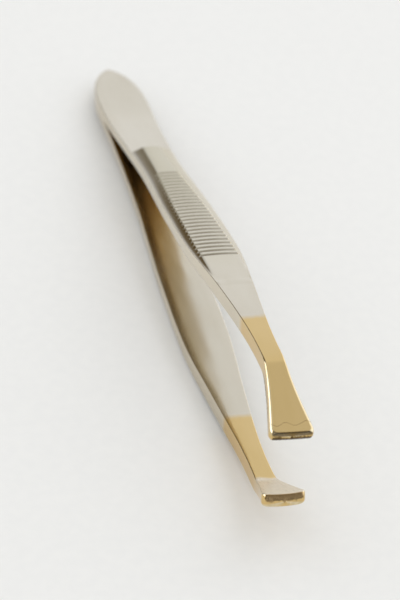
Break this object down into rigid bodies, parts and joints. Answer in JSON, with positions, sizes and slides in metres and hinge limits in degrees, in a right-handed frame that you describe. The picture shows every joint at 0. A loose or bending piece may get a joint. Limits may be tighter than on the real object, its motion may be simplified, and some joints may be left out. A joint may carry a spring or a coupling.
{
  "type": "cosmetic tweezers",
  "caption": "Flat-tip beauty tweezers: two bowed sprung steel leaves welded at a rounded tail, with ribbed finger pads and wide inward-cranked plated tips that close together.",
  "frame": {"origin": "centre of the flat face under the welded tail, 8 mm from the tail end", "axes": "+X from the tail to the tips, +Y across the leaves, +Z the way the tweezers open (towards the upper leaf)"},
  "size_m": [0.095, 0.0066, 0.017],
  "materials": {
    "nickel_plated_steel": "polished nickel plate, warm grey, fine lengthwise grain",
    "gold_plated_steel": "polished pale gold plate over the same steel",
    "weld_steel": "bare fused steel, hidden inside the tail"
  },
  "bodies": {
    "tail": {"upper_leaf_tail": "nickel_plated_steel", "lower_leaf_tail": "nickel_plated_steel", "spot_weld_rear": "weld_steel", "spot_weld_front": "weld_steel"},
    "upper_arm": {"upper_arm": "nickel_plated_steel", "upper_plated_tip": "gold_plated_steel"},
    "lower_arm": {"lower_arm": "nickel_plated_steel", "lower_plated_tip": "gold_plated_steel"}
  },
  "joints": [
    {"name": "upper_arm_flex", "type": "hinge", "parent": "tail", "child": "upper_arm", "pos_m": [0.0065, 0, 0.0015], "axis": [0, 1, 0], "range_deg": [0, 2.45]},
    {"name": "lower_arm_flex", "type": "hinge", "parent": "tail", "child": "lower_arm", "pos_m": [0.0065, 0, 0.0005], "axis": [0, -1, 0], "range_deg": [0, 2.45]}
  ],
  "couplings": [
    {"joint": "lower_arm_flex", "follows": "upper_arm_flex", "ratio": 1}
  ]
}
